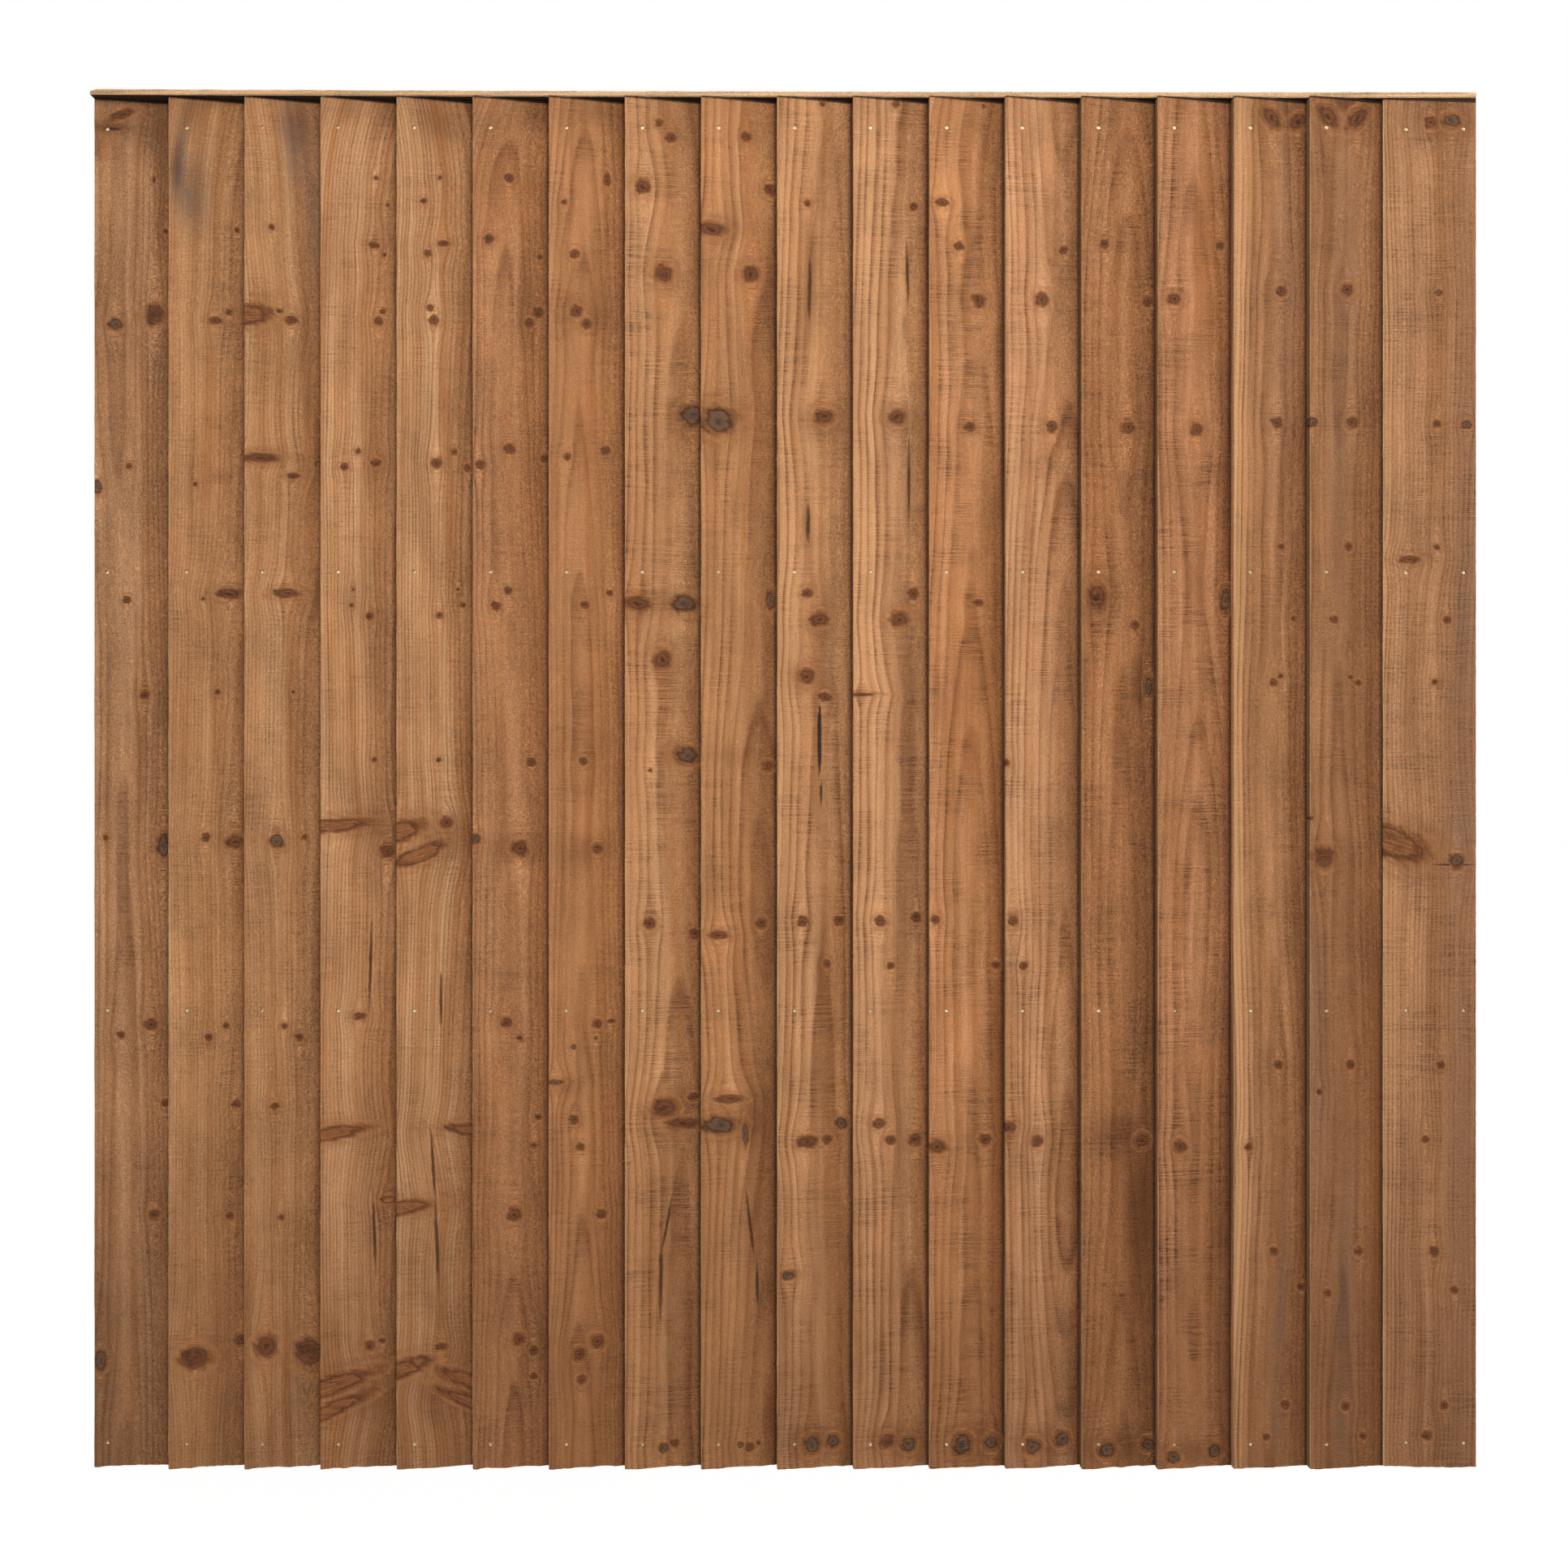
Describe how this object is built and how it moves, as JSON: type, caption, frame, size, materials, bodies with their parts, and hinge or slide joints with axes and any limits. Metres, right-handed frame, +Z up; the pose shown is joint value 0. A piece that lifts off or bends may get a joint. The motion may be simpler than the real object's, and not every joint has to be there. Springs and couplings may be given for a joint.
{
  "type": "close-board fence panel",
  "caption": "Wooden close-board fence panel: lapped upright feather-edge boards nailed to a framed back of stiles and rails, under a thin cap strip.",
  "frame": {"origin": "foot of the panel, in the middle of its width and of its overall thickness", "axes": "+X to the right seen from the front, +Z up, the boards face -Y"},
  "size_m": [1.828, 0.0666, 1.819],
  "materials": {
    "sawn_board": "rough sawn softwood, brown preservative",
    "frame_timber": "sawn softwood, brown preservative",
    "cap_timber": "sawn softwood, pale brown preservative",
    "nail_steel": "plain galvanised wire nail"
  },
  "bodies": {
    "root": {"feather_board_01": "sawn_board", "feather_board_02": "sawn_board", "feather_board_03": "sawn_board", "feather_board_04": "sawn_board", "feather_board_05": "sawn_board", "feather_board_06": "sawn_board", "feather_board_07": "sawn_board", "feather_board_08": "sawn_board", "feather_board_09": "sawn_board", "feather_board_10": "sawn_board", "feather_board_11": "sawn_board", "feather_board_12": "sawn_board", "feather_board_13": "sawn_board", "feather_board_14": "sawn_board", "feather_board_15": "sawn_board", "feather_board_16": "sawn_board", "feather_board_17": "sawn_board", "feather_board_18": "sawn_board", "bottom_rail": "frame_timber", "middle_rail_1": "frame_timber", "middle_rail_2": "frame_timber", "top_rail": "frame_timber", "left_stile": "frame_timber", "right_stile": "frame_timber", "cap": "cap_timber", "board_nails_row_1": "nail_steel", "board_nails_row_2": "nail_steel", "board_nails_row_3": "nail_steel", "board_nails_row_4": "nail_steel", "frame_nails_left": "nail_steel", "frame_nails_right": "nail_steel", "cap_nails": "nail_steel"}
  },
  "joints": []
}
